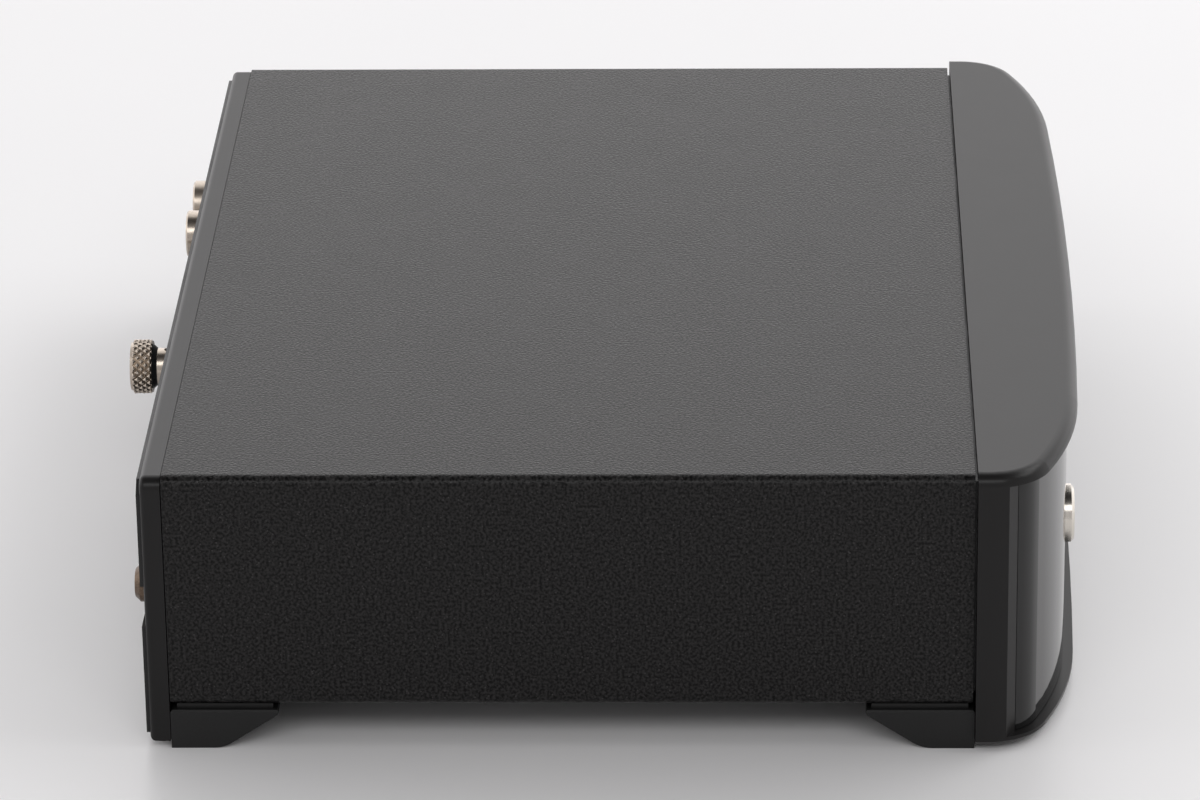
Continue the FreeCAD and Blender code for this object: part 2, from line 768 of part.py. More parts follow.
def add_hooks(body):
    """Hooks from the front wall's inside, each with a nose that catches behind the tray."""
    root = f"{FRONT} - front_bow + hook_setback"
    behind = "tray_sheet + hook_fit"
    shanks = sketch_on(body, "hook_shanks", "XZ", root)
    noses = sketch_on(body, "hook_noses", "XZ", f"{FRONT} + {behind}")
    for across, up in HOOKS:
        left, right = f"{across} - hook_width / 2", f"{across} + hook_width / 2"
        draw_rectangle(shanks, left, up, right, f"{up} + hook_sheet")
        draw_rectangle(noses, left, up, right, f"{up} + hook_sheet + hook_nose")
    add(body, shanks, "XZ", f"front_bow - hook_setback + {behind} + hook_catch")
    add(body, noses, "XZ", "hook_catch")


def cut_control_holes(body, name):
    """The holes of the button and the indicator through a front wall."""
    cut_rounds(body, f"{name}_control_holes", "XZ", f"{FRONT} - front_bow", "front_bow", [
        (BUTTON_X, "control_height", "button_radius + button_gap"),
        (INDICATOR_X, "control_height", "indicator_radius + indicator_fit"),
    ])


def make_fascia():
    """The gloss band that wraps round the front inside the recess."""
    body = new_body("fascia")
    low = "(moulding_bottom + bottom_lip + fascia_gap)"
    height = "moulding_top - top_lip - moulding_bottom - bottom_lip - 2 * fascia_gap"
    band = sketch_on(body, "fascia_band", "XY", low)
    depth = "(end_wall_depth + fascia_gap)"
    outer = draw_bow(band, "fascia_recess", turn_at("fascia_recess", depth))
    back = f"({FASCIA_BACK} - fascia_gap / 2)"
    inner = draw_bow(band, back, turn_at(back, depth))
    for start in (outer, inner):
        hold_corners(band, start)
        hold(band, "DistanceY", start, 1, f"{FRONT} - {depth}")
        hold(band, "DistanceY", start + 4, 2, f"{FRONT} - {depth}")
    for point, geometry in ((1, 0), (2, 4)):
        begin = band.getPoint(outer + geometry, point)
        end = band.getPoint(inner + geometry, point)
        line = band.addGeometry(Part.LineSegment(begin, end))
        band.addConstraint(Sketcher.Constraint("Coincident", outer + geometry, point, line, 1))
        band.addConstraint(Sketcher.Constraint("Coincident", line, 2, inner + geometry, point))
    add(body, band, "XY", height)
    cut_control_holes(body, "fascia")


def make_power_button():
    """A turned cap with a bright bevelled rim and a flange that keeps it behind the moulding."""
    front = f"({FRONT} - button_front)"
    flange = f"({FRONT} - button_flange_front)"
    at = (BUTTON_X, "control_height")
    rim = cone("button_rim", "Y", at[0], front, at[1], "button_radius - button_edge", "button_radius",
               "button_edge")
    cap = cylinder("button_cap", "Y", at[0], f"{front} + button_edge", at[1], "button_radius",
                   "button_front - button_flange_front - button_edge")
    collar = cylinder("button_collar", "Y", at[0], flange, at[1], "button_flange_radius",
                      "button_flange_thickness")
    seat = f"{flange} + button_flange_thickness - button_socket"
    socket = cylinder("button_socket_tool", "Y", at[0], seat, at[1], "plunger_radius", "button_socket")
    finish(difference("button_turning", fuse("button_blank", [rim, cap, collar]), socket), "power_button")


def make_button_plunger():
    start = f"({FRONT} - button_flange_front + button_flange_thickness - button_socket)"
    rod = cylinder("plunger_rod", "Y", BUTTON_X, start, "control_height", "plunger_radius",
                   f"{PLUNGER_BACK} - {start}")
    finish(rod, "button_plunger")


def make_button_spring():
    """A coil between the button's flange and the switch, round the plunger."""
    start = f"({FRONT} - button_flange_front + button_flange_thickness + spring_wire / 2)"
    length = "(button_flange_front - button_flange_thickness - switch_front - spring_wire)"
    helix = doc.addObject("Part::Helix", "spring_path")
    helix.setExpression("Radius", linked("spring_radius"))
    helix.setExpression("Pitch", linked(f"{length} / spring_turns"))
    helix.setExpression("Height", linked(length))
    helix.Placement.Rotation = TURN_TO_Y
    place(helix, BUTTON_X, start, "control_height")
    wire = doc.addObject("Part::Plane", "spring_section")
    wire.setExpression("Length", linked("spring_wire"))
    wire.setExpression("Width", linked("spring_wire"))
    place(wire, f"{BUTTON_X} + spring_radius - spring_wire / 2", f"{start} - spring_wire / 2",
          "control_height")
    doc.recompute()
    coil = doc.addObject("Part::Sweep", "spring_coil")
    coil.Sections = [wire]
    coil.Spine = (helix, [f"Edge{i + 1}" for i in range(len(helix.Shape.Edges))])
    coil.Solid = True
    coil.Frenet = True
    finish(coil, "button_spring")


def make_power_switch():
    body = new_body("power_switch")
    half = "switch_width / 2"
    add_box(body, "switch_case", "XZ", f"{FRONT} - switch_front",
            f"{CONTROL_FACE} - {FRONT} + switch_front",
            f"{BUTTON_X} - {half}", f"control_height - {half}",
            f"{BUTTON_X} + {half}", f"control_height + {half}")
    cut_rounds(body, "switch_bore_outline", "XZ", f"{FRONT} - switch_front", "switch_bore",
               [(BUTTON_X, "control_height", "plunger_radius + plunger_gap")])


def make_control_board():
    """The small upright board behind the front wall, with the switch and the lamp."""
    body = new_body("control_board")
    add_box(body, "control_board_outline", "XZ", CONTROL_FACE, "control_board_sheet",
            CONTROL_LEFT, "control_height - control_board_height / 2",
            CONTROL_RIGHT, "control_height + control_board_height / 2")


def make_control_spacers():
    post = hexagon("control_spacer", "Y", "0", "0", "0", "control_spacer_flats", "control_spacer_length")
    copies("control_spacers", post, [
        (f"{across} control_spacer_inset", f"{FRONT} + tray_sheet", "control_height")
        for across in (f"{CONTROL_LEFT} +", f"{CONTROL_RIGHT} -")
    ])


def make_indicator():
    """A clear rod from the fascia's face to the lamp on the control board."""
    front = f"({FRONT} - front_bow + fascia_recess + {INDICATOR_X} ^ 2 / (2 * bow_radius))"
    rod = cylinder("indicator_rod", "Y", INDICATOR_X, front, "control_height", "indicator_radius",
                   "indicator_length")
    finish(rod, "indicator_lens")
    lamp_front = f"({front} + indicator_length + led_gap)"
    lamp = box("lamp_block", f"{INDICATOR_X} - indicator_radius", lamp_front,
               "control_height - indicator_radius", "2 * indicator_radius",
               f"{CONTROL_FACE} - {lamp_front}", "2 * indicator_radius")
    finish(lamp, "indicator_lamp")


# Rear

def make_rear_bezel():
    body = new_body("rear_bezel")
    add_box(body, "bezel_outline", "XZ", REAR, "bezel_depth",
            "-case_width / 2", "bezel_bottom", "case_width / 2", "bezel_top")
    dress(body, "Fillet", "bezel_corners", "bezel_corner",
          lambda p, e: runs_along(e, 1) and near(p.z, "bezel_top"))
    dress(body, "Fillet", "bezel_rear_edge", "bezel_edge", lambda p, e: near(p.y, BEZEL_FACE))
    cut_box(body, "bezel_hollow", "XZ", REAR, "bezel_core",
            "-case_width / 2 + bezel_rim", f"{TRAY_FLOOR} + bezel_rim",
            "case_width / 2 - bezel_rim", "bezel_top - bezel_rim")
    bosses = sketch_on(body, "bezel_bosses", "XZ", REAR)
    for across, up in REAR_SCREWS + [("post_side", "post_height")]:
        draw_rectangle(bosses, f"{across} - post_boss", f"{up} - post_boss",
                       f"{across} + post_boss", f"{up} + post_boss")
    add(body, bosses, "XZ", "bezel_core")
    seat = sketch_on(body, "plate_seat", "XZ", PLATE_BACK)
    draw_plate(seat, "plate_seat_gap")
    cut(body, seat, "XZ", "plate_thickness")
    cut_socket_windows(body, "bezel", REAR, "bezel_depth")
    holes = [(across, up, "screw_radius + screw_clearance") for across, up in REAR_SCREWS]
    holes.append(("post_side", "post_height", "stud_radius + stud_fit"))
    cut_rounds(body, "bezel_holes", "XZ", REAR, "bezel_depth", holes)


def draw_plate(sketch, gap):
    """The plate's outline: cut upper corners and a round-ended notch in each side at the screws."""
    half = f"(case_width / 2 - plate_inset + {gap})"
    low, high = f"(plate_bottom - {gap})", f"(plate_top + {gap})"
    notch_low = f"(rear_screw_height - notch_height / 2 + {gap})"
    notch_high = f"(rear_screw_height + notch_height / 2 - {gap})"
    right = [
        (half, low), (half, notch_low), (REAR_SCREW_X, notch_low), (REAR_SCREW_X, notch_high),
        (half, notch_high), (half, f"{high} - plate_corner"), (f"{half} - plate_corner", high),
    ]
    left = [(f"-({across})", up) for across, up in reversed(right)]
    right_notch = 2
    left_notch = 2 * len(right) - 2 - right_notch
    draw_polygon(sketch, right + left, (right_notch, left_notch))


def make_rear_plate():
    """The thin plate round the sockets."""
    body = new_body("rear_plate")
    outline = sketch_on(body, "plate_outline", "XZ", PLATE_BACK)
    draw_plate(outline, "0")
    add(body, outline, "XZ", "plate_thickness")
    cut_socket_windows(body, "plate", PLATE_BACK, "plate_thickness")
    cut_rounds(body, "plate_post_hole", "XZ", PLATE_BACK, "plate_thickness",
               [("post_side", "post_height", "stud_radius + stud_fit")])


# Feet

def make_foot(name, end, side):
    """A wedge foot with a shadow step under the case and a peg staked over the tray's floor."""
    body = new_body(name)
    start, out = (FRONT, "") if end == "front" else (REAR, "-")
    start = f"({start} + {out}foot_gap)"
    left = "-case_width / 2" if side == "left" else "case_width / 2 - foot_width"
    profile = sketch_on(body, name + "_profile", "YZ", left)
    draw_polygon(profile, [
        (start, "0"), (f"{start} + {out}foot_flat", "0"),
        (f"{start} + {out}(foot_length - foot_edge)", "foot_tip"),
        (f"{start} + {out}foot_length", "foot_top"), (start, "foot_top"),
    ])
    add(body, profile, "YZ", "foot_width")
    dress(body, "Fillet", name + "_blend", "foot_blend",
          lambda p, e: runs_along(e, 0) and near(p.z, "0") and near(p.y, f"{start} + {out}foot_flat"))
    dress(body, "Chamfer", name + "_edge", "foot_edge",
          lambda p, e: near(p.z, "foot_top"))
    near_y = f"{start} + {out}foot_rebate"
    far_y = f"{start} + {out}(foot_length - foot_rebate)"
    step = sketch_on(body, name + "_step", "XY", "foot_top")
    draw_rectangle(step, f"{left} + foot_rebate", near_y, f"{left} + foot_width - foot_rebate", far_y)
    add(body, step, "XY", "case_bottom - foot_top")
    across = f"{'-' if side == 'left' else ''}{PEG_X}"
    back = f"({FRONT} + peg_back)" if end == "front" else f"({REAR} - peg_back)"
    half = "peg_width / 2"
    add_box(body, name + "_peg", "XY", "case_bottom", "cover_sheet + tray_sheet",
            f"{across} - {half}", f"{back} - {half}", f"{across} + {half}", f"{back} + {half}")
    half = "(peg_width / 2 + peg_head_lap)"
    add_box(body, name + "_peg_head", "XY", TRAY_INSIDE, "peg_head_height",
            f"{across} - {half}", f"{back} - {half}", f"{across} + {half}", f"{back} + {half}")


# Screws

def make_rear_screws():
    """Pan-head screws with a cross recess that hold the bezel to the tray."""
    shank = cylinder("rear_screw_shank", "Y", "0", "-rear_screw_length", "0", "screw_radius",
                     "rear_screw_length")
    flat = "pan_head_height - pan_head_dome"
    rim = cylinder("rear_screw_rim", "Y", "0", "0", "0", "pan_head_radius", flat)
    dome = cone("rear_screw_dome", "Y", "0", flat, "0", "pan_head_radius",
                "pan_head_radius - pan_head_dome", "pan_head_dome")
    blank = fuse("rear_screw_blank", [shank, rim, dome])
    floor = "pan_head_height - drive_depth"
    bars = [
        box("drive_bar_flat", "-drive_span / 2", floor, "-drive_width / 2",
            "drive_span", "drive_depth", "drive_width"),
        box("drive_bar_tall", "-drive_width / 2", floor, "-drive_span / 2",
            "drive_width", "drive_depth", "drive_span"),
    ]
    screw = difference("rear_screw", blank, fuse("drive_cross", bars))
    copies("rear_screws", screw, [(across, BEZEL_FACE, up) for across, up in REAR_SCREWS])


# Main board

def make_main_board():
    body = new_body("main_board")
    add_box(body, "board_outline", "XY", BOARD_UNDER, "board_sheet",
            f"-{BOARD_HALF}", f"{FRONT} + board_front_gap", BOARD_HALF, f"{REAR} - board_rear_gap")


def make_board_clips():
    """Four supports on the tray's floor that grip the board's side edges."""
    clips = []
    lap = "clip_back + clip_lap"
    for side, edge, wide in (
        ("left", f"-{BOARD_HALF} - clip_back", f"-{BOARD_HALF} - clip_back"),
        ("right", BOARD_HALF, f"{BOARD_HALF} - clip_lap"),
    ):
        for end, front in (("front", f"{FRONT} + clip_front"), ("rear", f"{REAR} - clip_rear")):
            name = f"clip_{side}_{end}"
            base = box(f"{name}_base", wide, front, TRAY_INSIDE, lap, "clip_length", "clip_rise")
            wall = box(f"{name}_wall", edge, front, TRAY_INSIDE, "clip_back", "clip_length",
                       "clip_rise + board_sheet + clip_cap")
            cap = box(f"{name}_cap", wide, front, BOARD_TOP, lap, "clip_length", "clip_cap")
            clips.append(fuse(name, [base, wall, cap]))
    group("board_clips", clips)


def make_capacitors():
    can = cylinder("large_can", "Z", "0", "0", "0", "large_can_radius", "large_can_height")
    row = [(f"{INLET_X} + {i} * can_pitch", f"{REAR} - 3 * can_pitch", BOARD_TOP) for i in range(2)]
    copies("reservoir_capacitors", can, row)
    film = box("film_block", "-film_length / 2", "-film_width / 2", "0",
               "film_length", "film_width", "film_height")
    column = [(f"{SOCKET_X} + {i} * can_pitch", f"{REAR} - 3 * can_pitch - {j} * film_pitch", BOARD_TOP)
              for i in range(2) for j in range(3)]
    copies("film_capacitors", film, column)


def make_active_parts():
    chip = box("chip_block", "-chip_width / 2", "-chip_length / 2", "0",
               "chip_width", "chip_length", "chip_height")
    row = [(f"can_pitch * {i}", f"{REAR} - 4 * can_pitch", BOARD_TOP) for i in (0, 1)]
    copies("amplifier_chips", chip, row)
    regulator = box("regulator_block", "-regulator_width / 2", "-regulator_depth / 2", "0",
                    "regulator_width", "regulator_depth", "regulator_height")
    row = [(f"{INLET_X} + {i} * can_pitch", f"{REAR} - 4.5 * can_pitch", BOARD_TOP) for i in (0, 1)]
    copies("voltage_regulators", regulator, row)
    relay = box("relay_block", "post_side - relay_width", f"{REAR} - 2.4 * can_pitch", BOARD_TOP,
                "relay_width", "relay_length", "relay_height")
    finish(relay, "muting_relay")


def make_board_link():
    """The flat lead that joins the control board to the main board, and its two headers."""
    middle = f"(({BUTTON_X} + {INDICATOR_X}) / 2)"
    left = f"({middle} - header_length / 2)"
    upper = box("upper_header", left, CONTROL_BACK, "control_height - header_depth / 2",
                "header_length", "header_height", "header_depth")
    lower_front = f"({CONTROL_BACK} + 2 * header_depth)"
    lower = box("lower_header", left, lower_front, BOARD_TOP,
                "header_length", "header_depth", "header_height")
    finish(fuse("header_pair", [upper, lower]), "lead_headers")
    body = new_body("board_lead")
    start = f"({CONTROL_BACK} + header_height)"
    end = f"({lower_front} + header_depth / 2)"
    low = f"({BOARD_TOP} + header_height)"
    half = "ribbon_sheet / 2"
    path = sketch_on(body, "lead_path", "YZ", f"{left} + ribbon_sheet")
    draw_polygon(path, [
        (start, f"control_height - {half}"), (f"{end} - {half}", f"control_height - {half}"),
        (f"{end} - {half}", low), (f"{end} + {half}", low),
        (f"{end} + {half}", f"control_height + {half}"), (start, f"control_height + {half}"),
    ])
    add(body, path, "YZ", "header_length - 2 * ribbon_sheet")
    for side, sign, radius in (("outer", "+", "ribbon_bend + ribbon_sheet"), ("inner", "-", "ribbon_bend")):
        bend_z, bend_y = f"control_height {sign} {half}", f"{end} {sign} {half}"
        dress(body, "Fillet", f"lead_{side}_bend", radius,
              lambda p, e: runs_along(e, 0) and near(p.z, bend_z) and near(p.y, bend_y))


# Phono sockets


def make_socket_block():
    """The moulded block on the board: a neck through the rear wall carries four bored stubs."""
    body = new_body("socket_block")
    add_box(body, "block_outline", "XZ", f"{TRAY_REAR} - block_depth", "block_depth",
            f"{SOCKET_X} - block_margin", BOARD_TOP,
            f"{SOCKET_X} + socket_pitch + block_margin", "socket_low + socket_pitch + block_top")
    add_box(body, "block_neck", "XZ", TRAY_REAR, f"{NECK_FACE} - {TRAY_REAR}",
            f"{SOCKET_X} - neck_margin", "socket_low - neck_margin",
            f"{SOCKET_X} + socket_pitch + neck_margin", "socket_low + socket_pitch + neck_margin")
    stubs = [(across, up, "barrel_bore") for across, up in SOCKETS]
    add_rounds(body, "block_stubs", "XZ", NECK_FACE, f"{STUB_END} - {NECK_FACE}", stubs)
    bores = [(across, up, "contact_bore") for across, up in SOCKETS]
    cut_rounds(body, "block_bores", "XZ", f"{STUB_END} - contact_depth", "contact_depth", bores)


def make_socket_barrels():
    """The plated tubes over the block's stubs, and the leaf contact in each bore."""
    reach = f"({REAR} + barrel_reach - {NECK_FACE})"
    tube = cylinder("barrel_tube", "Y", "0", "0", "0", "barrel_radius", f"{reach} - barrel_edge")
    rim = cone("barrel_rim", "Y", "0", f"{reach} - barrel_edge", "0",
               "barrel_radius", "barrel_radius - barrel_edge", "barrel_edge")
    bore = cylinder("barrel_bore_tool", "Y", "0", "0", "0", "barrel_bore", reach)
    barrel = difference("barrel", fuse("barrel_blank", [tube, rim]), bore)
    copies("socket_barrels", barrel, [(across, NECK_FACE, up) for across, up in SOCKETS])
    leaf = box("contact_leaf", "-contact_width / 2", "0", "-contact_drop",
               "contact_width", "contact_depth - contact_recess", "contact_sheet")
    start = f"{STUB_END} - contact_depth"
    copies("socket_contacts", leaf, [(across, start, up) for across, up in SOCKETS])


# Power inlet

def make_power_inlet():
    body = new_body("power_inlet")
    low, high = BOARD_TOP, f"{BOARD_TOP} + inlet_height"
    add_box(body, "inlet_case", "XZ", f"{TRAY_REAR} - inlet_depth", "inlet_depth",
            f"{INLET_X} - inlet_width / 2", low, f"{INLET_X} + inlet_width / 2", high)
    add_box(body, "inlet_neck_outline", "XZ", TRAY_REAR, f"{NECK_FACE} - {TRAY_REAR}",
            f"{INLET_X} - inlet_neck", f"{INLET_HEIGHT} - inlet_neck",
            f"{INLET_X} + inlet_neck", f"{INLET_HEIGHT} + inlet_neck")
    floor = f"{NECK_FACE} - inlet_bore_depth"
    cut_rounds(body, "inlet_bore_outline", "XZ", floor, "inlet_bore_depth",
               [(INLET_X, INLET_HEIGHT, "inlet_bore")])
    pin = cylinder("inlet_pin_rod", "Y", INLET_X, floor, INLET_HEIGHT,
                   "inlet_pin_radius", "inlet_bore_depth - inlet_pin_recess")
    finish(pin, "inlet_pin")


# Ground terminal

def make_ground_post():
    """The fixed post: a neck with a wire hole outside the plate, and a stud both ways."""
    at = ("post_side", "post_height")
    neck_length = "(post_neck_end - bezel_depth - plate_proud)"
    neck = cylinder("post_neck", "Y", at[0], PLATE_FACE, at[1], "post_neck_radius", neck_length)
    tip = "(post_reach - stud_tip)"
    stud = cylinder("post_stud", "Y", at[0], f"{REAR} - stud_inside", at[1], "stud_radius",
                    f"stud_inside + {tip}")
    hole = cylinder("post_wire_tool", "Z", at[0], f"{REAR} + post_neck_end - post_wire_back",
                    f"{at[1]} - 2 * post_neck_radius", "post_wire_hole", "4 * post_neck_radius")
    finish(difference("post_turning", fuse("post_blank", [neck, stud]), hole), "ground_post")


def make_ground_lock_nut():
    at = ("post_side", "post_height")
    face = f"({TRAY_REAR} - lock_nut_height)"
    blank = hexagon("lock_nut_hexagon", "Y", at[0], face, at[1], "lock_nut_flats", "lock_nut_height")
    bore = cylinder("lock_nut_bore", "Y", at[0], face, at[1], "stud_radius + stud_fit", "lock_nut_height")
    finish(difference("lock_nut_turning", blank, bore), "ground_lock_nut")


def make_clamp_washer():
    """The captive cone under the thumb nut, which slides along the stud without turning."""
    at = ("post_side", "post_height")
    start = f"({REAR} + post_neck_end + washer_seat)"
    length = "(post_reach - head_length - post_neck_end - 2 * washer_seat)"
    ring = cone("clamp_cone", "Y", at[0], start, at[1], "washer_small", "washer_large", length)
    hole = cylinder("clamp_hole", "Y", at[0], start, at[1], "washer_bore", length)
    finish(difference("clamp_turning", ring, hole), "clamp_washer")


def make_thumb_nut():
    """The round nut that fingers turn, with a hub that carries the captive washer."""
    at = ("post_side", "post_height")
    start = f"({REAR} + post_reach - head_length)"
    hub_start = f"({REAR} + post_neck_end + 2 * washer_seat)"
    hub = cylinder("nut_hub", "Y", at[0], hub_start, at[1], "washer_bore - hub_fit", f"{start} - {hub_start}")
    head = cylinder("nut_head", "Y", at[0], start, at[1], "head_radius", "head_length - head_edge")
    last = cone("nut_back_edge", "Y", at[0], f"{start} + head_length - head_edge", at[1], "head_radius",
                "head_radius - head_edge", "head_edge")
    bore = cylinder("nut_bore", "Y", at[0], hub_start, at[1], "stud_radius + stud_fit",
                    f"{REAR} + post_reach - stud_tip / 2 - {hub_start}")
    finish(difference("nut_turning", fuse("nut_blank", [hub, head, last]), bore), "thumb_nut")


def make_all():
    make_top_cover()
    make_base_tray()
    make_front_moulding()
    make_fascia()
    make_power_button()
    make_button_plunger()
    make_button_spring()
    make_power_switch()
    make_control_board()
    make_control_spacers()
    make_indicator()
    make_rear_bezel()
    make_rear_plate()
    for end in ("front", "rear"):
        for side in ("left", "right"):
            make_foot(f"foot_{end}_{side}", end, side)
    make_rear_screws()
    make_main_board()
    make_board_clips()
    make_capacitors()
    make_active_parts()
    make_board_link()
    make_socket_block()
    make_socket_barrels()
    make_power_inlet()
    make_ground_post()
    make_ground_lock_nut()
    make_clamp_washer()
    make_thumb_nut()


def write_parts():
    doc.recompute()
    for item in doc.Objects:
        if "Invalid" in item.State or "Error" in item.State:
            raise RuntimeError(f"{item.Name} failed: {item.State}")
    os.makedirs("parts", exist_ok=True)
    for item in finished:
        shape = item.Shape
        if shape.isNull() or not shape.isValid() or not shape.Solids:
            raise RuntimeError(f"{item.Label} has no valid solid")
    for item in finished:
        item.Shape.exportStep(f"parts/{item.Label}.step")
        print(item.Label, len(item.Shape.Solids), "solids,", round(item.Shape.Volume, 1), "mm3")


make_all()
write_parts()
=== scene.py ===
import json
import math

import bpy
from mathutils import Matrix, Vector


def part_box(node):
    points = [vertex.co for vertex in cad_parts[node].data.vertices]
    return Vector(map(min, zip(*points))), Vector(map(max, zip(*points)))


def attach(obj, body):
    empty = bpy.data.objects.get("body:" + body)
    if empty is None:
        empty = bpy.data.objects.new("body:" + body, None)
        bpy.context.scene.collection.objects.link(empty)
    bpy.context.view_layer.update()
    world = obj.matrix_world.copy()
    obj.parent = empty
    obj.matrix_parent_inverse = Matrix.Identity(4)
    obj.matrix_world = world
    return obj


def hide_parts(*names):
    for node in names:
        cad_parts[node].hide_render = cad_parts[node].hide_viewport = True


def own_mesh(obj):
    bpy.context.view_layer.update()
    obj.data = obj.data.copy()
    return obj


# A small phono preamp on a pale studio floor, seen from above its left side.
# Lengths are in metres, in the frame of the CAD model: the front faces -Y and Z is up.

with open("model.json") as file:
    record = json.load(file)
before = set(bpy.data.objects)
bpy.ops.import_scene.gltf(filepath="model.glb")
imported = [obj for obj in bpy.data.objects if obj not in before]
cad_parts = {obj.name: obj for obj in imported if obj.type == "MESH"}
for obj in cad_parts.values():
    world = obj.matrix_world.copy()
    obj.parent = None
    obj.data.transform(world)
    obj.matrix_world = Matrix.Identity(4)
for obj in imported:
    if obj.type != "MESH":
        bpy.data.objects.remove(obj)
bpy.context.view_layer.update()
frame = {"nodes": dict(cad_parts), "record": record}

MM = 0.001

# Camera
CAMERA_PLACE = Vector((-0.9472, -0.0319, 0.4353))
CAMERA_YAW = math.radians(1.8973)
CAMERA_PITCH = math.radians(23.660)
CAMERA_ROLL = math.radians(-0.8295)
CAMERA_LENS = 183.9
SENSOR_WIDTH = 36.0
CLIP_START = 0.01

# Finishes use the noise between these levels, and their gloss varies over so many grains
NOISE_LOW, NOISE_HIGH = 0.3, 0.7
GRAINS_PER_CLOUD = 20

# Powder coat of the cover
COAT_COLOUR = (0.0115, 0.0110, 0.0110)
COAT_GRAIN = 0.45 * MM
COAT_GRAIN_LOW, COAT_GRAIN_HIGH = 0.35, 0.65
COAT_DARKEST, COAT_LIGHTEST = 0.15, 1.85
# Bright specks painted into the coat's colour: painted glints that stand in for the sparkle of the
# coat
COAT_GLINT_PITCH = 1.0 * MM
COAT_GLINT_CORE, COAT_GLINT_EDGE = 0.08, 0.16
COAT_GLINT_BRIGHTNESS = 3.6
COAT_CLOUD = 9 * MM
COAT_ROUGHNESS_LOW, COAT_ROUGHNESS_HIGH = 0.27, 0.29
COAT_SPECULAR = 0.148
COAT_DEPTH = 0.10 * MM

# Circuit boards
TRACK_LENGTH = 14 * MM
TRACK_PITCH = 3.2 * MM
TRACK_GAP = 0.35 * MM
TRACK_DEPTH = 0.03 * MM
TRACK_GREENS = ((0.010, 0.085, 0.035), (0.012, 0.095, 0.040))
GAP_GREEN = (0.022, 0.160, 0.060)
PAD_PITCH = 5 * MM
PAD_CORE, PAD_EDGE = 0.10, 0.13
PAD_COLOUR = (0.45, 0.44, 0.42)
LACQUER_ROUGHNESS, PAD_ROUGHNESS = 0.32, 0.45
PAD_METALLIC = 0.9

# Thumb nut
KNURL_COUNT = 21
KNURL_DEPTH = 0.36 * MM
KNURL_STEPS_PER_DIAMOND = 8
KNURL_EDGE = 0.22 * MM
HEAD_LENGTH = 3.6 * MM
HUB_RADIUS = 2.6 * MM
HUB_RIM = 0.5 * MM
BEVEL_LENGTH = 2 * KNURL_EDGE
BEVEL_INSET = 2.5 * KNURL_EDGE
DIMPLE_RADIUS = 1.2 * MM
DIMPLE_FLOOR_RADIUS = 0.9 * MM
DIMPLE_DEPTH = 0.15 * MM

# Return spring behind the power button
SPRING_TURNS = 2
SPRING_STEPS = 48
SPRING_WIRE = 0.4 * MM
WIRE_SIDES = 4

# Floor
FLOOR_SIZE = 6.0
FLOOR_DROP = 0.02 * MM
# Painted light: the floor's colour is painted lighter from near the camera to far from it
FLOOR_SHADED_NEAR_COLOUR, FLOOR_LIT_FAR_COLOUR = (0.83, 0.825, 0.83), (0.86, 0.86, 0.87)
FLOOR_NEAR_X, FLOOR_FAR_X = -0.15, 0.75
FLOOR_CLOUD = 0.15
FLOOR_ROUGHNESS_LOW, FLOOR_ROUGHNESS_HIGH = 0.30, 0.36

# Room, whose light is a product of one ramp over height and one along the view
ROOM_COLOUR = (1.0, 0.982, 0.988)
HORIZON_LIGHT, OVERHEAD_LIGHT = 1.34, 0.04
BEHIND_CAMERA_LIGHT, BEYOND_PART_LIGHT = 0.44, 1.22


# Materials

def new_material(name):
    """A material with only an output and a principled shader, and its object coordinates."""
    material = bpy.data.materials.new(name)
    material.use_nodes = True
    nodes = material.node_tree.nodes
    nodes.clear()
    output = nodes.new("ShaderNodeOutputMaterial")
    shader = nodes.new("ShaderNodeBsdfPrincipled")
    place = nodes.new("ShaderNodeTexCoord")
    material.node_tree.links.new(shader.outputs["BSDF"], output.inputs["Surface"])
    return material, shader, place.outputs["Object"]


def add_noise(material, coordinates, size, detail=3.0, stretch=(1.0, 1.0, 1.0)):
    """Noise from 0 to 1 whose features are about size metres across, drawn out by stretch."""
    nodes, links = material.node_tree.nodes, material.node_tree.links
    mapping = nodes.new("ShaderNodeMapping")
    mapping.inputs["Scale"].default_value = [1.0 / factor for factor in stretch]
    noise = nodes.new("ShaderNodeTexNoise")
    noise.inputs["Scale"].default_value = 1.0 / size
    noise.inputs["Detail"].default_value = detail
    links.new(coordinates, mapping.inputs["Vector"])
    links.new(mapping.outputs["Vector"], noise.inputs["Vector"])
    return noise.outputs["Fac"]


def add_cells(material, coordinates, pitch):
    """The distance from the nearest of many points, which lie about pitch metres apart."""
    nodes, links = material.node_tree.nodes, material.node_tree.links
    cells = nodes.new("ShaderNodeTexVoronoi")
    cells.inputs["Scale"].default_value = 1.0 / pitch
    links.new(coordinates, cells.inputs["Vector"])
    return cells.outputs["Distance"]


def set_ramp(node, from_low, from_high, to_low, to_high):
    """Makes a range node take one span of values to another."""
    node.inputs["From Min"].default_value = from_low
    node.inputs["From Max"].default_value = from_high
    node.inputs["To Min"].default_value = to_low
    node.inputs["To Max"].default_value = to_high


def remap(material, value, from_low, from_high, to_low, to_high):
    """Takes a value from one span to another, and holds it inside the second."""
    nodes, links = material.node_tree.nodes, material.node_tree.links
    node = nodes.new("ShaderNodeMapRange")
    set_ramp(node, from_low, from_high, to_low, to_high)
    links.new(value, node.inputs["Value"])
    return node.outputs["Result"]


def mix_colours(material, factor, first, second):
    """Blends two colours, each an RGB triple or a socket."""
    nodes, links = material.node_tree.nodes, material.node_tree.links
    node = nodes.new("ShaderNodeMix")
    node.data_type = "RGBA"
    links.new(factor, node.inputs["Factor"])
    for socket, colour in ((node.inputs["A"], first), (node.inputs["B"], second)):
        if isinstance(colour, tuple):
            socket.default_value = (*colour, 1.0)
        else:
            links.new(colour, socket)
    return node.outputs["Result"]


def scaled(colour, factor):
    """A colour made darker or lighter."""
    return tuple(channel * factor for channel in colour)


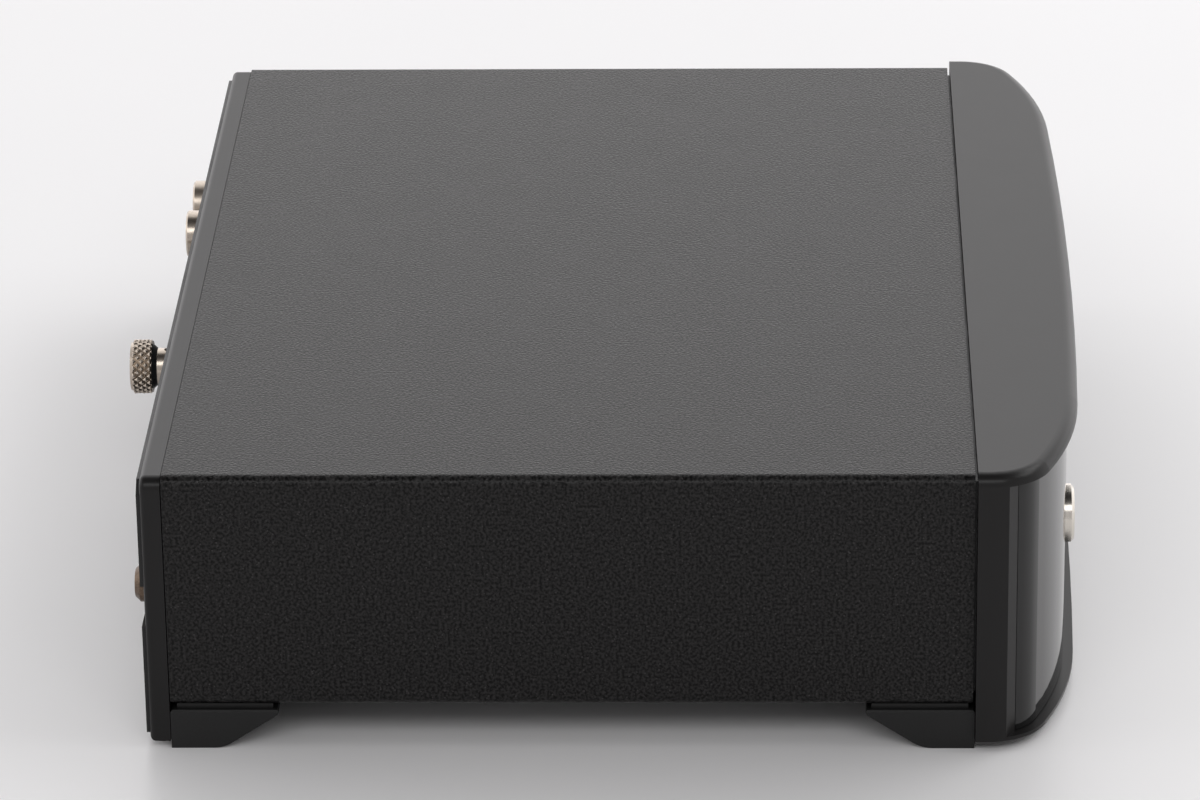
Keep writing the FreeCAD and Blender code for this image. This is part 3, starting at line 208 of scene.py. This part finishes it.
def add_bump(material, shader, height, depth):
    """Raises the surface by up to depth metres where height is 1."""
    nodes, links = material.node_tree.nodes, material.node_tree.links
    bump = nodes.new("ShaderNodeBump")
    bump.inputs["Strength"].default_value = 1.0
    bump.inputs["Distance"].default_value = depth
    links.new(height, bump.inputs["Height"])
    links.new(bump.outputs["Normal"], shader.inputs["Normal"])


def make_finish(name, colour, roughness, grain, spread=0.1, roughness_spread=0.05, depth=0.0,
                metallic=0.0, specular=0.5, stretch=(1.0, 1.0, 1.0), coat=0.0):
    """A finish whose colour, roughness and surface all vary a little over grain metres."""
    material, shader, coordinates = new_material(name)
    links = material.node_tree.links
    fine = add_noise(material, coordinates, grain, stretch=stretch)
    broad = add_noise(material, coordinates, grain * GRAINS_PER_CLOUD, detail=2.0, stretch=stretch)
    tint = remap(material, fine, NOISE_LOW, NOISE_HIGH, 0.0, 1.0)
    shade = mix_colours(material, tint, scaled(colour, 1 - spread), scaled(colour, 1 + spread))
    links.new(shade, shader.inputs["Base Color"])
    rough = remap(material, broad, NOISE_LOW, NOISE_HIGH,
                  roughness - roughness_spread, roughness + roughness_spread)
    links.new(rough, shader.inputs["Roughness"])
    shader.inputs["Metallic"].default_value = metallic
    shader.inputs["Specular IOR Level"].default_value = specular
    shader.inputs["Coat Weight"].default_value = coat
    if depth:
        add_bump(material, shader, fine, depth)
    return material


def make_powder_coat():
    """Dark textured paint: fine orange-peel grain, with small bright specks painted into its
    colour as painted glints of the coat's sparkle.
    """
    material, shader, coordinates = new_material("powder_coat")
    links = material.node_tree.links
    grain = add_noise(material, coordinates, COAT_GRAIN, detail=1.0)
    cloud = add_noise(material, coordinates, COAT_CLOUD, detail=2.0)
    cells = add_cells(material, coordinates, COAT_GLINT_PITCH)
    painted_glint = remap(material, cells, COAT_GLINT_CORE, COAT_GLINT_EDGE, 1.0, 0.0)
    tint = remap(material, grain, COAT_GRAIN_LOW, COAT_GRAIN_HIGH, 0.0, 1.0)
    shade = mix_colours(material, tint, scaled(COAT_COLOUR, COAT_DARKEST),
                        scaled(COAT_COLOUR, COAT_LIGHTEST))
    # Painted glints: bright specks mixed into the colour
    shade = mix_colours(material, painted_glint, shade, scaled(COAT_COLOUR, COAT_GLINT_BRIGHTNESS))
    links.new(shade, shader.inputs["Base Color"])
    rough = remap(material, cloud, NOISE_LOW, NOISE_HIGH, COAT_ROUGHNESS_LOW, COAT_ROUGHNESS_HIGH)
    links.new(rough, shader.inputs["Roughness"])
    shader.inputs["Specular IOR Level"].default_value = COAT_SPECULAR
    add_bump(material, shader, grain, COAT_DEPTH)
    return material


def make_board_green():
    """Green lacquer over copper tracks and bare pads."""
    material, shader, coordinates = new_material("board_lacquer")
    nodes, links = material.node_tree.nodes, material.node_tree.links
    tracks = nodes.new("ShaderNodeTexBrick")
    tracks.inputs["Scale"].default_value = 1.0
    tracks.inputs["Brick Width"].default_value = TRACK_LENGTH
    tracks.inputs["Row Height"].default_value = TRACK_PITCH
    tracks.inputs["Mortar Size"].default_value = TRACK_GAP
    for name, colour in zip(("Color1", "Color2", "Mortar"), (*TRACK_GREENS, GAP_GREEN)):
        tracks.inputs[name].default_value = (*colour, 1.0)
    links.new(coordinates, tracks.inputs["Vector"])
    cells = add_cells(material, coordinates, PAD_PITCH)
    pad = remap(material, cells, PAD_CORE, PAD_EDGE, 1.0, 0.0)
    links.new(mix_colours(material, pad, tracks.outputs["Color"], PAD_COLOUR),
              shader.inputs["Base Color"])
    links.new(remap(material, pad, 0.0, 1.0, LACQUER_ROUGHNESS, PAD_ROUGHNESS),
              shader.inputs["Roughness"])
    links.new(remap(material, pad, 0.0, 1.0, 0.0, PAD_METALLIC), shader.inputs["Metallic"])
    add_bump(material, shader, tracks.outputs["Fac"], TRACK_DEPTH)
    return material


def make_clear_plastic():
    """Tinted clear plastic with faint moulding streaks."""
    material = make_finish("clear_plastic", (0.62, 0.63, 0.65), 0.12, 0.5 * MM, spread=0.04,
                           depth=0.004 * MM)
    shader = material.node_tree.nodes["Principled BSDF"]
    shader.inputs["Transmission Weight"].default_value = 0.85
    shader.inputs["IOR"].default_value = 1.49
    return material


# One finish for each material slot of the record: its name, colour, roughness and grain
MATERIALS = {
    "cover_paint": make_powder_coat(),
    "moulding_paint": make_finish("moulding_paint", (0.009, 0.0085, 0.0085), 0.29, 0.30 * MM,
                                  spread=0.04, roughness_spread=0.006, specular=0.22,
                                  depth=0.008 * MM),
    "gloss_black": make_finish("gloss_acrylic", (0.008, 0.008, 0.008), 0.06, 0.8 * MM,
                               spread=0.15, roughness_spread=0.02, specular=0.38),
    "plate_black": make_finish("plate_paint", (0.010, 0.010, 0.010), 0.38, 0.35 * MM,
                               specular=0.34, depth=0.008 * MM),
    "nickel": make_finish("warm_nickel", (0.52, 0.455, 0.39), 0.27, 0.4 * MM, spread=0.08,
                          metallic=1.0, depth=0.003 * MM),
    "bright_button": make_finish("turned_metal", (0.70, 0.66, 0.60), 0.20, 0.12 * MM,
                                 spread=0.08, metallic=1.0, depth=0.004 * MM,
                                 stretch=(30.0, 1.0, 30.0)),
    "spring_steel": make_finish("spring_steel", (0.50, 0.50, 0.50), 0.28, 0.2 * MM,
                                metallic=1.0, depth=0.003 * MM),
    "dark_screw": make_finish("blackened_screw", (0.045, 0.045, 0.047), 0.32, 0.25 * MM,
                              spread=0.2, metallic=0.6, depth=0.006 * MM),
    "foot_rubber": make_finish("foot_plastic", (0.009, 0.009, 0.009), 0.42, 0.40 * MM,
                               spread=0.12, specular=0.3, depth=0.02 * MM),
    "black_plastic": make_finish("black_plastic", (0.020, 0.020, 0.021), 0.42, 0.35 * MM,
                                 spread=0.12, depth=0.01 * MM),
    "white_plastic": make_finish("white_nylon", (0.72, 0.71, 0.67), 0.45, 0.6 * MM,
                                 spread=0.04, depth=0.01 * MM),
    "lamp_red": make_finish("lamp_red", (0.42, 0.02, 0.02), 0.18, 0.5 * MM, spread=0.1,
                            coat=0.3),
    "can_black": make_finish("can_sleeve", (0.018, 0.020, 0.030), 0.26, 0.8 * MM,
                             spread=0.15, depth=0.006 * MM, stretch=(1.0, 1.0, 6.0)),
    "film_yellow": make_finish("film_case", (0.55, 0.36, 0.05), 0.33, 0.7 * MM,
                               depth=0.01 * MM),
    "gold": make_finish("gold_plate", (0.80, 0.58, 0.24), 0.22, 0.4 * MM, metallic=1.0,
                        depth=0.003 * MM),
    "board_green": make_board_green(),
    "clear_lens": make_clear_plastic(),
}

# The rear screws are browner than the other nickel pieces, and painted darker as painted shade for
# the dark room they reflect
SHADED_BROWN_NICKEL = make_finish("brown_nickel_painted_shade", (0.13, 0.095, 0.07), 0.32, 0.3 * MM, spread=0.3,
                          metallic=1.0, depth=0.006 * MM)


def dress_cad_nodes():
    """Gives each CAD node the finish of its material slot."""
    for entry in frame["record"]["subparts"]:
        finish = MATERIALS[entry["material_slot"]]
        # The rear screws take the brown nickel with painted shade
        if entry["node"] == "rear_screws":
            finish = SHADED_BROWN_NICKEL
        for slot in frame["nodes"][entry["node"]].material_slots:
            slot.material = finish


dress_cad_nodes()


# Pieces made here

def add_piece(name, vertices, faces, material=None):
    """A mesh object in the scene."""
    mesh = bpy.data.meshes.new(name)
    mesh.from_pydata(vertices, [], faces)
    mesh.update()
    piece = bpy.data.objects.new(name, mesh)
    bpy.context.scene.collection.objects.link(piece)
    if material:
        mesh.materials.append(material)
    return piece


def round_section(low, high):
    """The centre's X and Z and the radius of a round piece along Y, from its box."""
    return (low[0] + high[0]) / 2, (low[2] + high[2]) / 2, (high[0] - low[0]) / 2


# Thumb nut with its diamond knurl

def knurl_height(turn, along, pitch):
    """0 in a groove and 1 on a diamond's top; turn is counted in diamonds."""
    first = abs(((turn + along / pitch) % 1.0) - 0.5) * 2
    second = abs(((turn - along / pitch) % 1.0) - 0.5) * 2
    return 1.0 - max(first, second) ** 2


def make_thumb_nut():
    """A round nut whose rim is cut by two crossing sets of grooves, and whose hub is plain."""
    low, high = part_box("thumb_nut")
    centre_x, centre_z, radius = round_section(low, high)
    hub_low, outer = low[1], high[1]
    head_low = outer - HEAD_LENGTH
    pitch = 2 * math.pi * radius / KNURL_COUNT
    around = KNURL_COUNT * KNURL_STEPS_PER_DIAMOND
    band_low, band_high = head_low + KNURL_EDGE, outer - BEVEL_LENGTH
    steps = int((band_high - band_low) / pitch * KNURL_STEPS_PER_DIAMOND)
    rings = [(HUB_RADIUS - HUB_RIM, hub_low, False), (HUB_RADIUS, hub_low, False),
             (HUB_RADIUS, head_low, False), (radius - KNURL_EDGE, head_low, False),
             (radius - KNURL_DEPTH, band_low, False)]
    for step in range(steps + 1):
        rings.append((radius, band_low + (band_high - band_low) * step / steps, True))
    rings += [(radius - KNURL_DEPTH, band_high, False), (radius - BEVEL_INSET, outer, False),
              (DIMPLE_RADIUS, outer, False), (DIMPLE_FLOOR_RADIUS, outer - DIMPLE_DEPTH, False)]
    vertices, faces = [], []
    for ring_radius, along, knurled in rings:
        for step in range(around):
            drop = 0.0
            if knurled:
                turn = step / KNURL_STEPS_PER_DIAMOND
                drop = KNURL_DEPTH * (1.0 - knurl_height(turn, along - band_low, pitch))
            angle = 2 * math.pi * step / around
            reach = ring_radius - drop
            vertices.append((centre_x + reach * math.cos(angle), along,
                             centre_z + reach * math.sin(angle)))
    for ring in range(len(rings) - 1):
        for step in range(around):
            after = (step + 1) % around
            start, end = ring * around, (ring + 1) * around
            faces.append((start + step, end + step, end + after, start + after))
    faces.append(list(range(around)))
    faces.append(list(range(len(vertices) - around, len(vertices)))[::-1])
    nut = add_piece("knurled_nut", vertices, faces, MATERIALS["nickel"])
    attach(nut, "nut")
    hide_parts("thumb_nut")


make_thumb_nut()


# Return spring, which shortens when the button is pressed

def make_return_spring():
    """A coil of square wire between the switch and the button's flange."""
    low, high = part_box("button_spring")
    centre_x, centre_z, radius = round_section(low, high)
    free_length = high[1] - low[1]
    inner = radius - SPRING_WIRE
    vertices, faces = [], []
    for step in range(SPRING_STEPS + 1):
        share = step / SPRING_STEPS
        angle = 2 * math.pi * SPRING_TURNS * share
        start = low[1] + (free_length - SPRING_WIRE) * share
        end = start + SPRING_WIRE
        for reach, along in ((radius, start), (radius, end), (inner, end), (inner, start)):
            vertices.append((centre_x + reach * math.cos(angle), along,
                             centre_z + reach * math.sin(angle)))
    for step in range(SPRING_STEPS):
        for side in range(WIRE_SIDES):
            near = step * WIRE_SIDES + side
            painted_light_share = step * WIRE_SIDES + (side + 1) % WIRE_SIDES
            faces.append((near, painted_light_share, painted_light_share + WIRE_SIDES, near + WIRE_SIDES))
    faces.append((3, 2, 1, 0))
    faces.append(tuple(SPRING_STEPS * WIRE_SIDES + side for side in range(WIRE_SIDES)))
    spring = add_piece("return_spring", vertices, faces, MATERIALS["spring_steel"])
    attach(spring, "case")
    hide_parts("button_spring")
    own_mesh(spring)


make_return_spring()


# Stage

def make_floor():
    """A pale floor whose colour is painted lighter away from the camera, as painted light."""
    half = FLOOR_SIZE / 2
    corners = [(-half, -half, 0), (half, -half, 0), (half, half, 0), (-half, half, 0)]
    floor = add_piece("studio_floor", corners, [(0, 1, 2, 3)])
    floor.location.z = -FLOOR_DROP
    material, shader, coordinates = new_material("studio_floor")
    nodes, links = material.node_tree.nodes, material.node_tree.links
    split = nodes.new("ShaderNodeSeparateXYZ")
    links.new(coordinates, split.inputs["Vector"])
    # Painted light: the colour grows lighter away from the camera
    painted_light_share = remap(material, split.outputs["X"], FLOOR_NEAR_X, FLOOR_FAR_X, 0.0, 1.0)
    links.new(mix_colours(material, painted_light_share, FLOOR_SHADED_NEAR_COLOUR, FLOOR_LIT_FAR_COLOUR),
              shader.inputs["Base Color"])
    cloud = add_noise(material, coordinates, FLOOR_CLOUD)
    rough = remap(material, cloud, NOISE_LOW, NOISE_HIGH,
                  FLOOR_ROUGHNESS_LOW, FLOOR_ROUGHNESS_HIGH)
    links.new(rough, shader.inputs["Roughness"])
    floor.data.materials.append(material)


def make_area_light(name, place, target, size, power):
    """A white rectangle of light that faces its target; power is in watts."""
    light = bpy.data.lights.new(name, "AREA")
    light.shape = "RECTANGLE"
    light.size, light.size_y = size
    light.energy = power
    item = bpy.data.objects.new(name, light)
    item.location = place
    turn = (Vector(target) - Vector(place)).to_track_quat("-Z", "Y")
    item.rotation_euler = turn.to_euler()
    bpy.context.scene.collection.objects.link(item)


def make_world():
    """A pale room, lighter round the horizon than overhead, and dimmer behind the camera."""
    world = bpy.data.worlds.new("studio")
    world.use_nodes = True
    nodes, links = world.node_tree.nodes, world.node_tree.links
    nodes.clear()
    output = nodes.new("ShaderNodeOutputWorld")
    background = nodes.new("ShaderNodeBackground")
    place = nodes.new("ShaderNodeTexCoord")
    split = nodes.new("ShaderNodeSeparateXYZ")
    height_squared = nodes.new("ShaderNodeMath")
    height_squared.operation = "MULTIPLY"
    strength = nodes.new("ShaderNodeMath")
    strength.operation = "MULTIPLY"
    background.inputs["Color"].default_value = (*ROOM_COLOUR, 1.0)
    links.new(place.outputs["Generated"], split.inputs["Vector"])
    links.new(split.outputs["Z"], height_squared.inputs[0])
    links.new(split.outputs["Z"], height_squared.inputs[1])
    ramps = ((height_squared.outputs["Value"], (0.0, 1.0, HORIZON_LIGHT, OVERHEAD_LIGHT)),
             (split.outputs["X"], (-1.0, 1.0, BEHIND_CAMERA_LIGHT, BEYOND_PART_LIGHT)))
    for index, (value, ramp) in enumerate(ramps):
        node = nodes.new("ShaderNodeMapRange")
        set_ramp(node, *ramp)
        links.new(value, node.inputs["Value"])
        links.new(node.outputs["Result"], strength.inputs[index])
    links.new(strength.outputs["Value"], background.inputs["Strength"])
    links.new(background.outputs["Background"], output.inputs["Surface"])
    bpy.context.scene.world = world


make_floor()
make_world()
make_area_light("back_softbox", place=(0.9, 0.0, 1.0), target=(0.05, 0.0, 0.0),
                size=(1.6, 1.0), power=3.0)
make_area_light("front_softbox", place=(-1.1, 0.0, 1.0), target=(-0.1, 0.0, 0.0),
                size=(1.4, 0.5), power=5.0)
make_area_light("right_card", place=(0.2, -0.9, 1.0), target=(0.0, -0.4, 0.0),
                size=(1.2, 0.5), power=5.0)
make_area_light("left_card", place=(0.0, 1.2, 0.5), target=(0.0, 0.0, 0.02),
                size=(1.0, 0.7), power=1.5)


# Camera

def make_camera():
    """A long lens at the photograph's place, turned by its yaw, pitch and roll."""
    forward = Vector((math.cos(CAMERA_PITCH) * math.cos(CAMERA_YAW),
                      math.cos(CAMERA_PITCH) * math.sin(CAMERA_YAW),
                      -math.sin(CAMERA_PITCH)))
    right = forward.cross(Vector((0.0, 0.0, 1.0))).normalized()
    up = right.cross(forward)
    turn = Matrix.Rotation(-CAMERA_ROLL, 3, forward)
    right, up = turn @ right, turn @ up
    data = bpy.data.cameras.new("camera")
    data.lens = CAMERA_LENS
    data.sensor_width = SENSOR_WIDTH
    data.clip_start = CLIP_START
    camera = bpy.data.objects.new("camera", data)
    camera.matrix_world = Matrix((
        (right.x, up.x, -forward.x, CAMERA_PLACE.x),
        (right.y, up.y, -forward.y, CAMERA_PLACE.y),
        (right.z, up.z, -forward.z, CAMERA_PLACE.z),
        (0.0, 0.0, 0.0, 1.0),
    ))
    bpy.context.scene.collection.objects.link(camera)
    bpy.context.scene.camera = camera


make_camera()
bpy.context.scene.view_settings.view_transform = "Standard"
